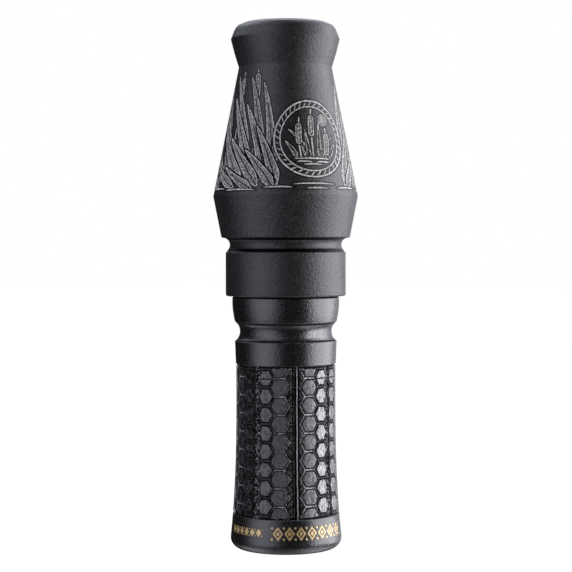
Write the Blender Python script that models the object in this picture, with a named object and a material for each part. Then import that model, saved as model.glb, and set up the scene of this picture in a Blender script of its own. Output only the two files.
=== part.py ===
"""A short-reed goose call that comes apart as the real one does.

The call stands on the exhaust end of its insert, with +Z up through the mouthpiece.
The insert's tenon and its two O-rings hold the barrel. The insert's upper bore and two
smaller O-rings hold the sound assembly: a gut body with its tone board, a reed and a wedge.
Sizes are in millimetres here, and the meshes are made in metres.
"""

import math

import bmesh
import bpy
from mathutils import Vector

MM = 0.001
SEGMENTS = 48
RING_SEGMENTS = 32
RING_SECTION_STEPS = 8
GAP = 0.3  # clearance between pieces that would touch

# Heights that the two outer pieces share
CALL_LENGTH = 146.0
SHOULDER_Z = 70.0  # the insert's shoulder, which the barrel closes on
TENON_TOP_Z = 94.0

# Barrel, as (radius, height) points down its outside
MOUTH_RIM = (11.4, CALL_LENGTH)
LIP_ARC = ((13.3, CALL_LENGTH - 0.75), (14.68, 143.4), (15.13, 141.6))
LIP_SIDE = (14.16, 137.8)
NECK = (12.93, 133.8)
BARREL_SHOULDER = (20.14, 98.0)
CONE_FOOT = (17.92, 86.6)
CONE_EDGE = (17.6, 86.35)
GROOVE_ARC = ((16.65, 86.15), (15.55, 84.4), (16.6, 82.75))
BAND_R = 16.73
BAND_TOP_Z = 82.62
BAND_CORNER = 0.8
SOCKET_R = 11.3
SOCKET_TOP_Z = 97.0
BARREL_BORE_R = 8.8
DISH_START_Z = 133.0
DISH_MIDDLE = (9.15, 140.0)
MOUTH_R = 10.2

# Insert, also down its outside
BEAD_ARC = ((14.86, SHOULDER_Z), (14.86, 67.4), (14.2, 63.2))
WAIST_ARC = ((14.08, 63.0), (12.8, 60.45), (14.08, 57.9))
COLLAR_TOP = (14.2, 57.75)
COLLAR_FOOT = (13.97, 51.5)
GRIP_R = 13.85
GRIP_FLARE_Z = 46.0
GRIP_HEIGHTS = (51.3, GRIP_FLARE_Z, 34.0, 24.0, 16.0, 9.0)
BASE_R = 15.53
BASE_CORNER_TOP_Z = 2.94
BASE_CORNER_MIDDLE = (14.6, 0.78)
REST_RING_R = 12.6
BELL_MOUTH_R = 10.6
BELL_MIDDLE = (6.9, 10.0)
BELL_TOP_Z = 22.0
INSERT_BORE_R = 5.5
TENON_CORNER = 0.4
TENON_R = 10.9
SEAT_R = 8.3
SEAT_Z = 65.7

# Gut body
STEM_R = 7.9
STEM_FOOT_Z = SEAT_Z + GAP
STEM_TOP_Z = 107.0
AIR_BORE_R = 3.8
BOARD_R = 6.2
BOARD_TOP_Z = 130.0
BOARD_DROP = 1.6  # how far the board's face falls away from the reed at its tip
BOARD_TIP_ARC = ((BOARD_R, BOARD_TOP_Z - 3.2), (5.3, BOARD_TOP_Z - 0.9), (3.2, BOARD_TOP_Z))
AIR_FLARE_TOP_Z = STEM_FOOT_Z + 3.0
CHANNEL_R = 2.4
CHANNEL_TOP_Z = 125.0
SLOT_FLOOR_Z = 98.0
SLOT_HALF_WIDTH = 5.1

# Reed and wedge, stacked on the board's flat face, which lies in the plane y = 0
REED_HALF_WIDTH = 4.8
REED_THICKNESS = 0.35
REED_FOOT_Z = SLOT_FLOOR_Z + 0.5
REED_TOP_Z = 128.5
REED_TIP_START_Z = 125.5
REED_TIP_MIDDLE = (3.3, 127.8)
REED_PIVOT_Z = 103.0
WEDGE_THICKNESS = 1.65
WEDGE_HALF_WIDTH = 4.6
WEDGE_TOP_Z = 110.5
WEDGE_TAPER = 0.35
WEDGE_NOSE = (0.5, 0.6)
REED_BACK_Y = -GAP
REED_FRONT_Y = REED_BACK_Y - REED_THICKNESS
WEDGE_BACK_Y = REED_FRONT_Y - GAP
WEDGE_FRONT_Y = WEDGE_BACK_Y - WEDGE_THICKNESS
SLOT_ROOF_Y = WEDGE_FRONT_Y - GAP

CUTTER_REACH = 10.0  # how far a cutter runs past the gut body
CUTTER_LIFT = 1.0

# O-rings: section radius, centre radius, heights and the groove each one sits in
TENON_RING = {"section": 0.85, "centre": 10.25, "groove_r": 9.05, "groove_half": 1.2}
TENON_RING_Z = {"tenon_oring_lower": 77.0, "tenon_oring_upper": 87.0}
GUT_RING = {"section": 0.75, "centre": 7.25, "groove_r": 6.15, "groove_half": 1.1}
GUT_RING_Z = {"gut_oring_lower": 73.0, "gut_oring_upper": 84.0}

BLACK_POLYMER = {"name": "satin_black_polymer", "colour": (0.018, 0.018, 0.019), "roughness": 0.42}
IVORY_POLYMER = {"name": "ivory_polymer", "colour": (0.72, 0.68, 0.58), "roughness": 0.4}
RING_RUBBER = {"name": "ring_rubber", "colour": (0.03, 0.03, 0.03), "roughness": 0.7}
REED_FILM = {"name": "reed_film", "colour": (0.78, 0.8, 0.78), "roughness": 0.25}
WEDGE_RUBBER = {"name": "wedge_rubber", "colour": (0.24, 0.06, 0.04), "roughness": 0.65}


def clear_scene():
    """Start from nothing."""
    for old in list(bpy.data.objects):
        bpy.data.objects.remove(old)


def material(look):
    """A Principled material, made once and shared."""
    found = bpy.data.materials.get(look["name"])
    if found:
        return found
    made = bpy.data.materials.new(look["name"])
    made.use_nodes = True
    shader = made.node_tree.nodes["Principled BSDF"]
    shader.inputs["Base Color"].default_value = (*look["colour"], 1.0)
    shader.inputs["Roughness"].default_value = look["roughness"]
    made.diffuse_color = (*look["colour"], 1.0)
    return made


def arc_through(start, middle, end, steps):
    """Points of the arc from start to end by way of middle, both ends included."""
    (ax, ay), (bx, by), (cx, cy) = start, middle, end
    twice_area = 2 * (ax * (by - cy) + bx * (cy - ay) + cx * (ay - by))
    squares = [x * x + y * y for x, y in (start, middle, end)]
    ox = (squares[0] * (by - cy) + squares[1] * (cy - ay) + squares[2] * (ay - by)) / twice_area
    oy = (squares[0] * (cx - bx) + squares[1] * (ax - cx) + squares[2] * (bx - ax)) / twice_area
    radius = math.hypot(ax - ox, ay - oy)
    first, via, last = (math.atan2(y - oy, x - ox) for x, y in (start, middle, end))
    to_via = (via - first) % math.tau
    to_last = (last - first) % math.tau
    if to_via > to_last:
        to_last -= math.tau
    angles = [first + to_last * i / steps for i in range(steps + 1)]
    return [(ox + radius * math.cos(a), oy + radius * math.sin(a)) for a in angles]


def object_from(bm, name, look, pivot=(0, 0, 0)):
    """An object from a mesh in millimetres, with its origin moved to pivot."""
    bmesh.ops.remove_doubles(bm, verts=bm.verts, dist=0.001)
    bmesh.ops.recalc_face_normals(bm, faces=bm.faces)
    bmesh.ops.translate(bm, verts=bm.verts, vec=-Vector(pivot))
    bmesh.ops.scale(bm, verts=bm.verts, vec=(MM, MM, MM))
    mesh = bpy.data.meshes.new(name)
    bm.to_mesh(mesh)
    bm.free()
    mesh.shade_smooth()
    mesh.set_sharp_from_angle(angle=math.radians(30))
    mesh.materials.append(material(look))
    made = bpy.data.objects.new(name, mesh)
    made.location = Vector(pivot) * MM
    bpy.context.scene.collection.objects.link(made)
    return made


def turned(name, outline, look, segments=SEGMENTS, pivot=(0, 0, 0)):
    """Turn a closed outline of (radius, height) points about the Z axis."""
    bm = bmesh.new()
    verts = [bm.verts.new((radius, 0, height)) for radius, height in outline]
    edges = [bm.edges.new((a, b)) for a, b in zip(verts, verts[1:] + verts[:1])]
    bmesh.ops.spin(bm, geom=verts + edges, cent=(0, 0, 0), axis=(0, 0, 1),
                   angle=math.tau, steps=segments, use_merge=True)
    bmesh.ops.dissolve_degenerate(bm, dist=0.001, edges=bm.edges)
    return object_from(bm, name, look, pivot)


def extruded(name, outline, plane, low, high, look, pivot=(0, 0, 0)):
    """Extrude a closed outline, drawn in the plane "yz" or "xz", from low to high across it."""
    bm = bmesh.new()
    if plane == "yz":
        corners = [(low, y, z) for y, z in outline]
        along = (high - low, 0, 0)
    else:
        corners = [(x, low, z) for x, z in outline]
        along = (0, high - low, 0)
    face = bm.faces.new([bm.verts.new(corner) for corner in corners])
    swept = bmesh.ops.extrude_face_region(bm, geom=[face])["geom"]
    bmesh.ops.translate(bm, verts=[v for v in swept if isinstance(v, bmesh.types.BMVert)],
                        vec=along)
    return object_from(bm, name, look, pivot)


def cut(target, cutter):
    """Subtract cutter from target and keep it as a hidden guide."""
    cutter.hide_render = True
    cutter.display_type = "WIRE"
    boolean = target.modifiers.new(cutter.name, "BOOLEAN")
    boolean.operation = "DIFFERENCE"
    boolean.object = cutter


def grooved_side(radius, low, high, ring, heights):
    """A cylinder's side from low up to high, with a square groove for each O-ring."""
    points = [(radius, low)]
    for height in sorted(heights):
        bottom = height - ring["groove_half"]
        top = height + ring["groove_half"]
        points += [(radius, bottom), (ring["groove_r"], bottom), (ring["groove_r"], top), (radius, top)]
    return points + [(radius, high)]


def grip_radius(height):
    """The insert's side below its collar: straight, then flaring to the base."""
    share = max(GRIP_FLARE_Z - height, 0) / (GRIP_FLARE_Z - BASE_CORNER_TOP_Z)
    return GRIP_R + (BASE_R - GRIP_R) * share ** 2.7


def make_barrel():
    """The upper tube: mouthpiece lip, neck, shoulder, lanyard groove and band."""
    foot_z = SHOULDER_Z + GAP
    inset = BAND_CORNER * (1 - math.sqrt(0.5))
    outline = [(MOUTH_R, CALL_LENGTH), MOUTH_RIM]
    outline += arc_through(*LIP_ARC, 4)
    outline += [LIP_SIDE, NECK, BARREL_SHOULDER, CONE_FOOT, CONE_EDGE]
    outline += arc_through(*GROOVE_ARC, 5)
    outline += [(BAND_R, BAND_TOP_Z)]
    outline += arc_through((BAND_R, foot_z + BAND_CORNER), (BAND_R - inset, foot_z + inset),
                           (BAND_R - BAND_CORNER, foot_z), 3)
    outline += [(SOCKET_R, foot_z), (SOCKET_R, SOCKET_TOP_Z), (BARREL_BORE_R, SOCKET_TOP_Z)]
    outline += arc_through((BARREL_BORE_R, DISH_START_Z), DISH_MIDDLE,
                           (MOUTH_R, CALL_LENGTH), 4)[:-1]
    return turned("barrel", outline, BLACK_POLYMER)


def make_insert():
    """The lower tube: tenon, bead, lanyard waist, collar, grip and flared exhaust end."""
    outline = [(SEAT_R, TENON_TOP_Z), (TENON_R - TENON_CORNER, TENON_TOP_Z)]
    side = grooved_side(TENON_R, SHOULDER_Z, TENON_TOP_Z - TENON_CORNER, TENON_RING,
                        TENON_RING_Z.values())
    outline += side[::-1]
    outline += arc_through(*BEAD_ARC, 4)
    outline += arc_through(*WAIST_ARC, 6)
    outline += [COLLAR_TOP, COLLAR_FOOT]
    outline += [(grip_radius(z), z) for z in GRIP_HEIGHTS]
    outline += arc_through((BASE_R, BASE_CORNER_TOP_Z), BASE_CORNER_MIDDLE, (REST_RING_R, 0.0), 4)
    outline += arc_through((BELL_MOUTH_R, 0.0), BELL_MIDDLE, (INSERT_BORE_R, BELL_TOP_Z), 6)
    outline += [(INSERT_BORE_R, SEAT_Z), (SEAT_R, SEAT_Z)]
    return turned("insert", outline, BLACK_POLYMER)


def make_orings(ring, heights, segments):
    """O-rings of one size, one object for each height."""
    for name, height in heights.items():
        steps = [math.tau * (i + 0.5) / RING_SECTION_STEPS for i in range(RING_SECTION_STEPS)]
        section = [(ring["centre"] + ring["section"] * math.cos(a),
                    height + ring["section"] * math.sin(a)) for a in steps]
        turned(name, section, RING_RUBBER, segments, pivot=(0, 0, height))


def board_face(height):
    """How far back the tone board's face lies at a height, as y."""
    share = (height - STEM_TOP_Z) / (BOARD_TOP_Z - STEM_TOP_Z)
    return BOARD_DROP * max(share, 0.0) ** 2


def make_gut_body():
    """The stem that seats in the insert, with the tone board standing on it."""
    stem = grooved_side(STEM_R, STEM_FOOT_Z, STEM_TOP_Z, GUT_RING, GUT_RING_Z.values())
    tip = arc_through(*BOARD_TIP_ARC, 4)
    outline = [(0, STEM_FOOT_Z), *stem, (BOARD_R, STEM_TOP_Z), *tip, (0, BOARD_TOP_Z)]
    body = turned("gut_body", outline, IVORY_POLYMER)

    above = BOARD_TOP_Z + CUTTER_LIFT
    heights = [STEM_TOP_Z + (above - STEM_TOP_Z) * i / 8 for i in range(9)]
    front = [(-CUTTER_REACH, above), (-CUTTER_REACH, STEM_TOP_Z)]
    cut(body, extruded("face_cutter", front + [(board_face(z), z) for z in heights],
                       "yz", -CUTTER_REACH, CUTTER_REACH, IVORY_POLYMER))
    slot_top = STEM_TOP_Z + CUTTER_LIFT
    slot = [(-SLOT_HALF_WIDTH, SLOT_FLOOR_Z), (SLOT_HALF_WIDTH, SLOT_FLOOR_Z),
            (SLOT_HALF_WIDTH, slot_top), (-SLOT_HALF_WIDTH, slot_top)]
    cut(body, extruded("slot_cutter", slot, "xz", SLOT_ROOF_Y, 0, IVORY_POLYMER))
    below = STEM_FOOT_Z - CUTTER_LIFT
    slant = math.sqrt(0.5)
    dome_z = CHANNEL_TOP_Z - CHANNEL_R
    bore = [(0, below), (INSERT_BORE_R, below), (INSERT_BORE_R, STEM_FOOT_Z),
            (AIR_BORE_R, AIR_FLARE_TOP_Z), (AIR_BORE_R, SLOT_FLOOR_Z - 1),
            (CHANNEL_R, SLOT_FLOOR_Z + 1)]
    bore += arc_through((CHANNEL_R, dome_z), (CHANNEL_R * slant, dome_z + CHANNEL_R * slant),
                        (0, CHANNEL_TOP_Z), 4)
    cut(body, turned("air_cutter", bore, IVORY_POLYMER, RING_SEGMENTS))
    return body


def make_reed():
    """A flat film with a rounded free end, pivoting where the wedge lets go of it."""
    tip = arc_through((REED_HALF_WIDTH, REED_TIP_START_Z), REED_TIP_MIDDLE, (0, REED_TOP_Z), 5)
    outline = [(-REED_HALF_WIDTH, REED_FOOT_Z), (REED_HALF_WIDTH, REED_FOOT_Z), *tip]
    outline += [(-x, z) for x, z in tip[-2::-1]]
    middle_y = (REED_BACK_Y + REED_FRONT_Y) / 2
    return extruded("reed", outline, "xz", REED_FRONT_Y, REED_BACK_Y, REED_FILM,
                    pivot=(0, middle_y, REED_PIVOT_Z))


def make_wedge():
    """The tapered key that presses the reed on the board, with a proud head to pull it by."""
    outline = [(WEDGE_BACK_Y, REED_FOOT_Z), (WEDGE_BACK_Y, WEDGE_TOP_Z),
               (WEDGE_FRONT_Y + WEDGE_NOSE[0], WEDGE_TOP_Z),
               (WEDGE_FRONT_Y, WEDGE_TOP_Z - WEDGE_NOSE[1]),
               (WEDGE_FRONT_Y + WEDGE_TAPER, REED_FOOT_Z)]
    return extruded("wedge", outline, "yz", -WEDGE_HALF_WIDTH, WEDGE_HALF_WIDTH, WEDGE_RUBBER,
                    pivot=(0, 0, REED_FOOT_Z))


def main():
    """Build every piece in its place."""
    clear_scene()
    make_barrel()
    make_insert()
    make_orings(TENON_RING, TENON_RING_Z, SEGMENTS)
    make_orings(GUT_RING, GUT_RING_Z, RING_SEGMENTS)
    make_gut_body()
    make_reed()
    make_wedge()


main()
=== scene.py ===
"""The look of a short-reed goose call in satin black polymer.

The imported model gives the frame. The barrel and the insert are rebuilt as fine lathe grids:
the barrel has a laser-etched marsh motif, and the insert an engraved honeycomb grip and a gold
frieze. Lengths are in millimetres until a mesh is made, azimuths are in degrees from the front,
positive towards +X, and a point of an outline is (radius, height).
"""

import cmath
import functools
import math

import bmesh
import bpy
import numpy as np
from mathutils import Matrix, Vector


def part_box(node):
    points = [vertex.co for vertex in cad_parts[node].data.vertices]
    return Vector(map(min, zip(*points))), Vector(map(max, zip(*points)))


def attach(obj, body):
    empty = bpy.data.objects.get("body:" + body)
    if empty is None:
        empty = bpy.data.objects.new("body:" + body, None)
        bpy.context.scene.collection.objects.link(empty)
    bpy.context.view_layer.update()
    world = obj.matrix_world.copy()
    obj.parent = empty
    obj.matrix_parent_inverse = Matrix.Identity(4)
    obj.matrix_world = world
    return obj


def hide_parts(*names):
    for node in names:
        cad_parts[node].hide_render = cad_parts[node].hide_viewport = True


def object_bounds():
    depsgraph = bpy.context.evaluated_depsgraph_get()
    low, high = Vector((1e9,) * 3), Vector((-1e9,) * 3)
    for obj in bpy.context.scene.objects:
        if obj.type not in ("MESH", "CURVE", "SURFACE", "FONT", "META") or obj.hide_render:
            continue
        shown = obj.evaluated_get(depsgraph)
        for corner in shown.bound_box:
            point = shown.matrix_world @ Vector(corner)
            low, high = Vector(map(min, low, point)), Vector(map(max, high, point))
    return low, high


MM = 0.001

# ---- outlines shared with the frame

MOUTH_R = 10.2
LIP_FLAT_R = 11.5
LIP_CHAMFER_FOOT = (13.3, 145.25)
LIP_ROUND = ((13.36, 145.15), (13.87, 144.52), (14.24, 143.8))
LIP_CREASE = (15.13, 141.6)
LIP_SIDE = (14.16, 137.8)
NECK = (12.93, 133.8)
BARREL_SHOULDER = (20.14, 98.0)
CONE_FOOT = (17.92, 86.6)
GROOVE_BROW = (16.82, 86.35)
GROOVE_ARC = ((16.7, 86.3), (15.55, 84.45), (16.25, 83.0))
GROOVE_FOOT_R = 16.3
BAND_R = 16.73
BAND_TOP_Z = 82.6
BAND_CHAMFER = (0.2, 0.25)
BARREL_GAP = 0.3
SOCKET = (11.3, 97.0)
BARREL_BORE_R = 8.8
DISH_START_Z = 133.0
DISH_MIDDLE = (9.15, 140.0)

SEAT = (8.3, 65.7)
TENON_R = 10.9
TENON_TOP_Z = 94.0
SHOULDER_Z = 70.0
BEAD_R = 14.86
COLLAR_R = 14.2
BEAD_ARC = ((14.9, 69.2), (BEAD_R, 67.4), (COLLAR_R, 63.2))
WAIST_ARC = ((13.9, 62.95), (12.8, 60.45), (13.9, 57.95))
COLLAR_TOP_Z = 57.75
COLLAR_FOOT = (13.97, 51.5)
GRIP_R = 13.85
GRIP_FLARE_Z = 46.0
FLARE_POWER = 2.7
BASE_R = 15.53
BASE_CORNER_TOP_Z = 2.94
BASE_CORNER_ARC = ((BASE_R, BASE_CORNER_TOP_Z), (14.6, 0.78), (12.6, 0.0))
INSERT_BORE_R = 5.5
BELL_ARC = ((10.6, 0.0), (6.9, 10.0), (INSERT_BORE_R, 22.0))

# Both turned pieces' outsides are wider than this, and their bores and the tenon narrower
OUTER_R = 12.5

# O-rings: section radius, centre radius, groove bottom radius and half its width
TENON_RING = (0.85, 10.25, 9.05, 1.2)
GUT_RING = (0.75, 7.25, 6.15, 1.1)
TENON_RING_NODES = ("tenon_oring_lower", "tenon_oring_upper")
GUT_RING_NODES = ("gut_oring_lower", "gut_oring_upper")
RING_STEPS = 28
RING_COLUMNS = 120
RING_FLAT = 0.96

# Guts: the board's flat face lies in the plane y = 0, with the reed and the wedge before it
STEM_R = 7.9
STEM_TOP_Z = 107.0
AIR_BORE_R = 3.8
AIR_FLARE = 3.0
BOARD_R = 6.2
BOARD_DROP = 1.6
NOSE_LENGTH = 3.2
NOSE_FLAT_R = 3.2
CHANNEL_R = 2.4
CHANNEL_TOP_Z = 125.0
SLOT_FLOOR_Z = 98.0
SLOT_HALF_WIDTH = 5.1
SLOT_DEPTH = 2.9
REED_NOSE = 3.0
REED_CORNER = 0.4
WEDGE_HEAD_Z = STEM_TOP_Z + 0.6
WEDGE_CHAMFER = (0.5, 0.6)
WEDGE_TAPER = 0.35
WEDGE_RIBS = 4
RIB_DEPTH = 0.45

# How far a cutter reaches past a piece, and how near points are to be merged
REACH = 10
MERGE_MM = 0.0005

# ---- surface detail

BARREL_COLUMNS = 800
INSERT_COLUMNS = 720
ETCH_ROW = 0.16
GRIP_ROW = 0.13
PLAIN_ROW = 1.6
GUARD = 0.22

# Distances in mm held far from any etching, on whole cells and on scorched ground
UNCUT = -2.0
WHOLE = 3.0
SCORCHED = -0.41

# Heights of the lanyard groove's and the waist's corners, which get painted shade, and the distances
# held there
GROOVE_CORNERS = ((BAND_TOP_Z - 0.01, BAND_TOP_Z + 0.9), (85.7, CONE_FOOT[1] - 0.1))
WAIST_CORNERS = ((57.85, 58.4), (62.7, 63.08))
GROOVE_PAINTED_SHADE = -0.15
SMOOTH_PAINTED_SHADE = -1.0

# The waist's polish, and the azimuths over which it starts and ends
WAIST_SHINE = 0.45
WAIST_SHINE_FROM = (8.0, 24.0)
WAIST_SHINE_TO = (40.0, 60.0)

MOTIF_AZIMUTH = 24.4
MOTIF_FOOT_Z = 99.3
MOTIF_LOW_Z = MOTIF_FOOT_Z - 1
MOTIF_TOP_Z = 132.5
MOTIF_SHEET_R = 17.0
ETCH_DEPTH = 0.05

GRIP_LOW_Z = 9.65
GRIP_HIGH_Z = 51.4
PANEL_AZIMUTH = 10.2
PANEL_ANGLE = 90.0
CELL_HEIGHT = 5.0
CELL_TOP_Z = 45.7
COLUMN_PITCH = 1.5 * CELL_HEIGHT / math.sqrt(3)
COLUMN_ANGLE = 17.5
SQUEEZE = 0.4
LEAST_CELL = 1.6
CUT_DEPTH = 0.5
RIDGE_HEIGHT = 0.36
CELL_FLATNESS = 0.65
RESTART_Z = 48.0
SEAM_CHANNELS = ((-0.62, 0.14), (0.1, 0.28), (0.98, 0.2))
SEAM_DEPTH = 0.42
SEAM_LINE = 0.55

# Degrees from a panel's seam over which its joints start and its grooves widen, and azimuths
# over which the roughed-over panel starts and ends
JOINT = (41.0, 43.0)
WIDENING = (22.0, 33.0)
WIDENING_BY_SEAM = (6.0, 12.0)
DULL_FROM = (-130.0, -125.0)
DULL_TO = (-41.0, -36.0)

# The frieze's groups of lozenges: first azimuth, count, pitch in degrees, height, whether framed,
# and the radius of the dots between them and their distance from the middle line
FRIEZE_GROUPS = ((-8.8, 7, 12.4, 3.9, True, 0.36, 1.5), (-68.2, 6, 7.7, 2.5, False, 0.24, 0.85))
LOZENGE_SHARE = 0.46
FRIEZE_Z = 6.1
GOLD_DEPTH = 0.07


def rows_of(low, high, step):
    """Evenly spaced heights from low to high, no further apart than step."""
    return np.linspace(low, high, max(2, math.ceil((high - low) / step) + 1))


# ---- outlines

def arc_through(start, middle, end, steps):
    """Points of the arc from start to end by way of middle, both ends included."""
    first, via, last = (complex(*point) for point in (start, middle, end))
    turn = (last - first) / (via - first)
    centre = first + (via - first) * (turn - abs(turn) ** 2) / (2j * turn.imag)
    arm = first - centre
    to_via, to_last = (cmath.phase((point - centre) / arm) % math.tau for point in (via, last))
    if to_via > to_last:
        to_last -= math.tau
    points = [centre + arm * cmath.rect(1.0, to_last * i / steps) for i in range(steps + 1)]
    return [(point.real, point.imag) for point in points]


def rounded(corners, steps=4):
    """A closed outline of corners, where a third number is a fillet turned into a short arc."""
    count = len(corners)
    outline = []
    for i, corner in enumerate(corners):
        if len(corner) == 2:
            outline.append(tuple(corner))
            continue
        here = Vector(corner[:2])
        before = (Vector(corners[i - 1][:2]) - here).normalized()
        after = (Vector(corners[(i + 1) % count][:2]) - here).normalized()
        half = before.angle(after) / 2
        reach = corner[2] / math.tan(half)
        inward = (before + after).normalized()
        middle = here + inward * (corner[2] / math.sin(half) - corner[2])
        outline += arc_through(here + before * reach, middle, here + after * reach, steps)
    return outline


def refined(outline, step_at):
    """Split the outline into stretches no longer than step_at gives for their middles.

    Guard rows beside a corner keep its shading from spreading over the flat beside it.
    """
    fine = []
    for start, end in zip(outline, outline[1:] + outline[:1]):
        length = math.dist(start, end)
        step = step_at(((start[0] + end[0]) / 2, (start[1] + end[1]) / 2))
        if length <= step:
            shares = [0.0]
        elif length > 4 * GUARD and step > GUARD:
            inner = rows_of(GUARD, length - GUARD, step)
            shares = [0.0] + [d / length for d in inner]
        else:
            shares = list(rows_of(0.0, length, step)[:-1] / length)
        fine += [(start[0] + (end[0] - start[0]) * s, start[1] + (end[1] - start[1]) * s)
                 for s in shares]
    return np.array(fine)


def split_at(outline, heights):
    """The outline with a corner added wherever its outside crosses one of the heights."""
    made = []
    for start, end in zip(outline, outline[1:] + outline[:1]):
        made.append(start)
        crossings = []
        for height in heights:
            between = min(start[1], end[1]) < height < max(start[1], end[1])
            if between and min(start[0], end[0]) > OUTER_R:
                share = (height - start[1]) / (end[1] - start[1])
                crossings.append((share, (start[0] + (end[0] - start[0]) * share, height)))
        made += [point for _, point in sorted(crossings)]
    return made


def grooved_side(radius, low, high, ring, heights):
    """A side running up from low to high with a square groove for each O-ring."""
    points = [(radius, low)]
    for height in heights:
        bottom = height - ring[3]
        top = height + ring[3]
        points += [(radius, bottom, 0.12), (ring[2], bottom, 0.15), (ring[2], top, 0.15),
                   (radius, top, 0.12)]
    return points + [(radius, high)]


def ring_heights(nodes):
    """The middle heights of O-ring nodes, in millimetres, lowest first."""
    return sorted(sum(corner.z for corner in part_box(node)) / 2 / MM for node in nodes)


def barrel_outline():
    """The barrel's wall, down its outside and up its bore."""
    top = cad_high.z / MM
    foot = SHOULDER_Z + BARREL_GAP
    corners = [(MOUTH_R, top, 0.3), (LIP_FLAT_R, top, 0.12), (*LIP_CHAMFER_FOOT, 0.1)]
    corners += arc_through(*LIP_ROUND, 8)
    corners += [(*LIP_CREASE, 0.06), LIP_SIDE, (*NECK, 0.1), (*BARREL_SHOULDER, 0.08),
                (*CONE_FOOT, 0.15), (*GROOVE_BROW, 0.15)]
    corners += arc_through(*GROOVE_ARC, 20)
    corners += [(GROOVE_FOOT_R, BAND_TOP_Z), (BAND_R - BAND_CHAMFER[0], BAND_TOP_Z, 0.05),
                (BAND_R, BAND_TOP_Z - BAND_CHAMFER[1], 0.06), (BAND_R, foot, 0.5),
                (SOCKET[0], foot, 0.4), (*SOCKET, 0.3), (BARREL_BORE_R, SOCKET[1], 0.3)]
    corners += arc_through((BARREL_BORE_R, DISH_START_Z), DISH_MIDDLE, (MOUTH_R, top), 12)[:-1]
    return rounded(corners)


def grip_radius(height):
    """The insert's side below its collar: straight, then flaring to the base."""
    share = np.clip((GRIP_FLARE_Z - height) / (GRIP_FLARE_Z - BASE_CORNER_TOP_Z), 0, 1)
    return GRIP_R + (BASE_R - GRIP_R) * share ** FLARE_POWER


def insert_outline():
    """The insert's wall, down its outside and up its bore."""
    corners = [(SEAT[0], TENON_TOP_Z, 0.3), (TENON_R, TENON_TOP_Z, 0.5)]
    side = grooved_side(TENON_R, SHOULDER_Z, TENON_TOP_Z - 1, TENON_RING,
                        ring_heights(TENON_RING_NODES))
    corners += side[:0:-1]
    corners += [(TENON_R, SHOULDER_Z, 0.3), (BEAD_R, SHOULDER_Z, 0.25)]
    corners += arc_through(*BEAD_ARC, 16)[:-1] + [(*BEAD_ARC[-1], 0.08)]
    corners += arc_through(*WAIST_ARC, 18)
    corners += [(COLLAR_R, COLLAR_TOP_Z, 0.08), (*COLLAR_FOOT, 0.12), (GRIP_R, GRIP_HIGH_Z + 0.1)]
    corners += [(grip_radius(z), z) for z in rows_of(BASE_CORNER_TOP_Z, GRIP_HIGH_Z, 2.0)[::-1]]
    corners += arc_through(*BASE_CORNER_ARC, 10)[1:]
    corners += arc_through(*BELL_ARC, 24)
    corners += [(INSERT_BORE_R, SEAT[1], 0.3), (*SEAT, 0.3)]
    return rounded(corners)


# ---- noise and curves

def soft_noise(across, up, cell, seed):
    """Smooth noise from -1 to 1 on a sheet, with features about one cell wide."""
    rng = np.random.default_rng(seed)
    side = 256
    values = rng.uniform(-1, 1, (side, side))
    x = across / cell
    y = up / cell
    x0 = np.floor(x).astype(int)
    y0 = np.floor(y).astype(int)
    fx = x - x0
    fy = y - y0
    fx = fx * fx * (3 - 2 * fx)
    fy = fy * fy * (3 - 2 * fy)
    left = values[x0 % side, y0 % side] * (1 - fy) + values[x0 % side, (y0 + 1) % side] * fy
    right = (values[(x0 + 1) % side, y0 % side] * (1 - fy)
             + values[(x0 + 1) % side, (y0 + 1) % side] * fy)
    return left * (1 - fx) + right * fx


def ramp(value, low, high):
    """0 below low, 1 above high, smooth between."""
    share = np.clip((value - low) / (high - low), 0, 1)
    return share * share * (3 - 2 * share)


def noise_sum(across, up, *waves):
    """Noises added together, each given by its height, cell and seed."""
    return sum(tall * soft_noise(across, up, cell, seed) for tall, cell, seed in waves)


def wrapped(angle, turn=360.0):
    """Angles in degrees brought to within half a turn of 0."""
    return (angle + turn / 2) % turn - turn / 2


def curve_points(run, steps=22):
    """Points of the quadratic curve that a run of start, bend and end gives."""
    t = np.linspace(0, 1, steps + 1)[:, None]
    a, b, c = (np.array(p, float) for p in run)
    return (1 - t) ** 2 * a + 2 * t * (1 - t) * b + t ** 2 * c


# ---- the etched marsh motif

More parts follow.
